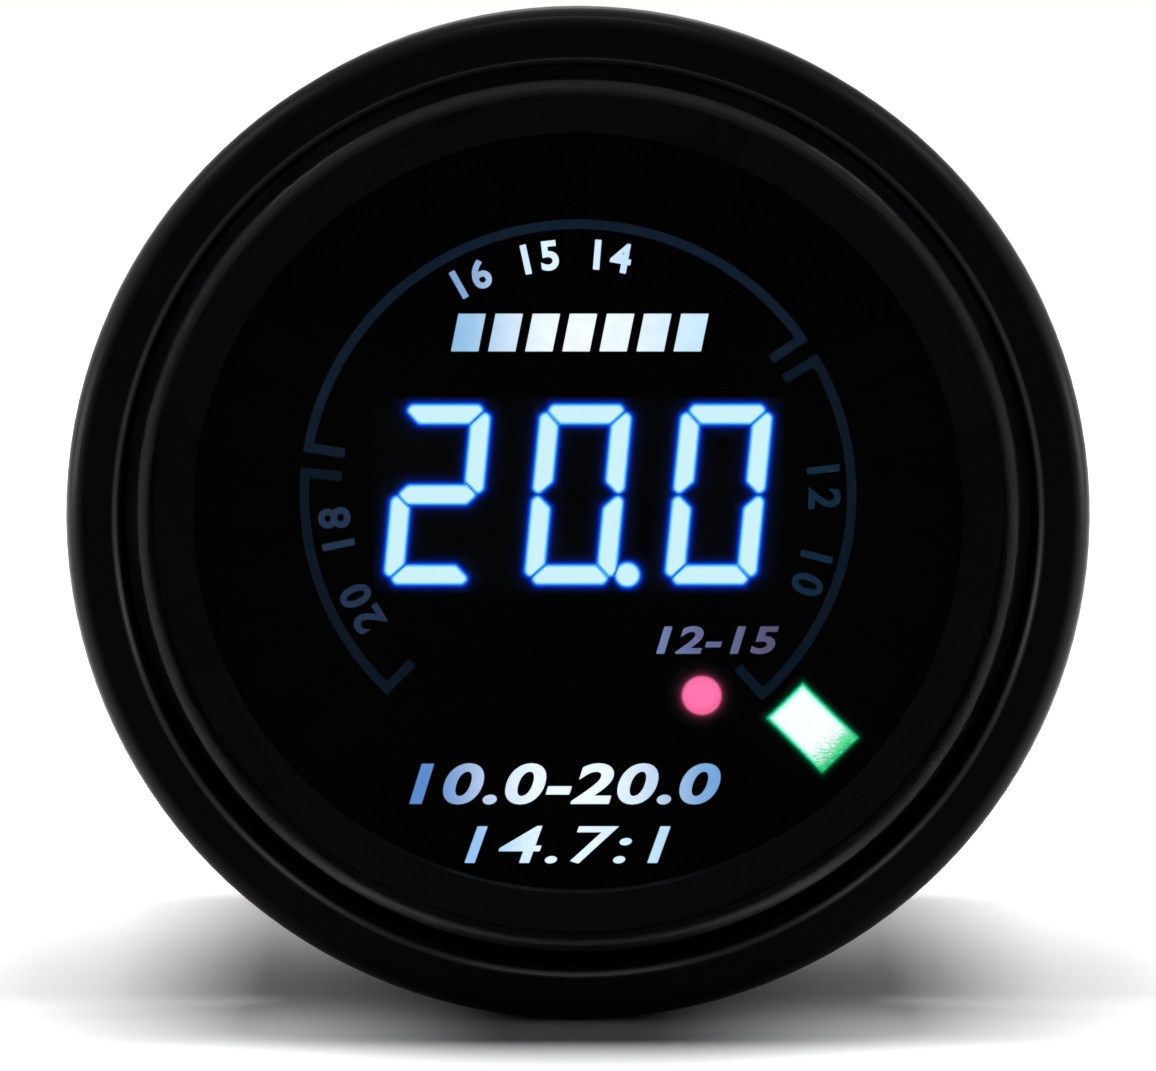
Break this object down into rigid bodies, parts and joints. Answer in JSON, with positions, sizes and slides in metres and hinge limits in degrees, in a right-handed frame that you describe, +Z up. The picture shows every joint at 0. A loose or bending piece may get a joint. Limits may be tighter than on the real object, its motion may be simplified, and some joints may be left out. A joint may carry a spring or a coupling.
{
  "type": "air fuel ratio gauge",
  "caption": "Round dash gauge with a ring of light bars, a digital reading and a clamp bracket that holds it in a panel hole.",
  "frame": {"origin": "centre of the panel seat, where the flange's back face meets the collar, on the gauge's axis", "axes": "+Y along the gauge's axis into the panel, so the dial faces -Y; +Z up the dial; +X to the right of a person who looks at the dial"},
  "size_m": [0.057, 0.0595, 0.057],
  "materials": {
    "bezel": "black satin plastic with a fine even grain",
    "lens": "smoked clear plastic, polished, with a rounded edge",
    "seal": "black rubber",
    "visor": "black matt plastic",
    "dial": "black printed film",
    "light_guide": "clear frosted plastic",
    "light_box": "white plastic",
    "display_housing": "black plastic",
    "light_pipes": "milky resin, lit ice blue",
    "digit_glow": "ice blue light",
    "legend_glow": "printed legend, lit from behind",
    "bar_glow": "lit bar, white in the middle and green at the edge",
    "tinned_pins": "tinned wire",
    "circuit_board": "green lacquer on glass fibre",
    "lamp_resin": "white lamp body with yellow resin",
    "indicator": "tinted resin, lit pink",
    "screws": "zinc plated",
    "chip_resin": "black resin with tinned leads",
    "capacitor_can": "plain aluminium can",
    "header": "black plastic with gilt pins",
    "posts": "turned brass",
    "barrel": "black plastic with a fine grain",
    "back_cover": "black plastic with a fine grain",
    "socket": "ivory nylon",
    "socket_pins": "plated pins",
    "studs": "zinc plated",
    "lock_nuts": "zinc plated",
    "bracket": "zinc plated strip",
    "washers": "spring steel",
    "thumb_nuts": "turned brass with a knurled rim"
  },
  "bodies": {
    "gauge": {"bezel_ring": "bezel", "lens": "lens", "lens_seal": "seal", "visor_ring": "visor", "dial_face": "dial", "light_guide": "light_guide", "light_box": "light_box", "display_housing": "display_housing", "display_pins": "tinned_pins", "display_board": "circuit_board", "legend_lamps": "lamp_resin", "indicator_lamp": "indicator", "board_screws": "screws", "driver_board": "circuit_board", "microcontroller": "chip_resin", "voltage_regulator": "chip_resin", "capacitors": "capacitor_can", "board_header": "header", "barrel": "barrel", "back_cover": "back_cover", "cover_screws": "screws", "power_socket": "socket", "socket_pins": "socket_pins", "stud_left": "studs", "stud_right": "studs", "lock_nut_left": "lock_nuts", "lock_nut_right": "lock_nuts", "display_digit_1": "light_pipes", "display_digit_2": "light_pipes", "display_digit_3": "light_pipes", "ring_lamp_1": "lamp_resin", "ring_lamp_2": "lamp_resin", "ring_lamp_3": "lamp_resin", "ring_lamp_4": "lamp_resin", "ring_lamp_5": "lamp_resin", "ring_lamp_6": "lamp_resin", "ring_lamp_7": "lamp_resin", "ring_lamp_8": "lamp_resin", "ring_lamp_9": "lamp_resin", "ring_lamp_10": "lamp_resin", "ring_lamp_11": "lamp_resin", "ring_lamp_12": "lamp_resin", "ring_lamp_13": "lamp_resin", "ring_lamp_14": "lamp_resin", "ring_lamp_15": "lamp_resin", "ring_lamp_16": "lamp_resin", "ring_lamp_17": "lamp_resin", "ring_lamp_18": "lamp_resin", "ring_lamp_19": "lamp_resin", "ring_lamp_20": "lamp_resin", "post_1": "posts", "post_2": "posts", "post_3": "posts"},
    "bracket": {"clamp_bracket": "bracket", "washer_left": "washers", "washer_right": "washers"},
    "left_nut": {"thumb_nut_left": "thumb_nuts"},
    "right_nut": {"thumb_nut_right": "thumb_nuts"}
  },
  "joints": [
    {"name": "left_nut_turn", "type": "hinge", "parent": "bracket", "child": "left_nut", "pos_m": [-0.016, 0.04, 0], "axis": [0, 1, 0], "range_deg": [-1028, 4114]},
    {"name": "right_nut_turn", "type": "hinge", "parent": "bracket", "child": "right_nut", "pos_m": [0.016, 0.04, 0], "axis": [0, 1, 0], "range_deg": [-1028, 4114]},
    {"name": "bracket_slide", "type": "slide", "parent": "gauge", "child": "bracket", "axis": [0, 1, 0], "range_m": [-0.002, 0.008]}
  ],
  "couplings": [
    {"joint": "left_nut_turn", "follows": "bracket_slide", "rad_per_m": 8976},
    {"joint": "right_nut_turn", "follows": "bracket_slide", "rad_per_m": 8976}
  ]
}
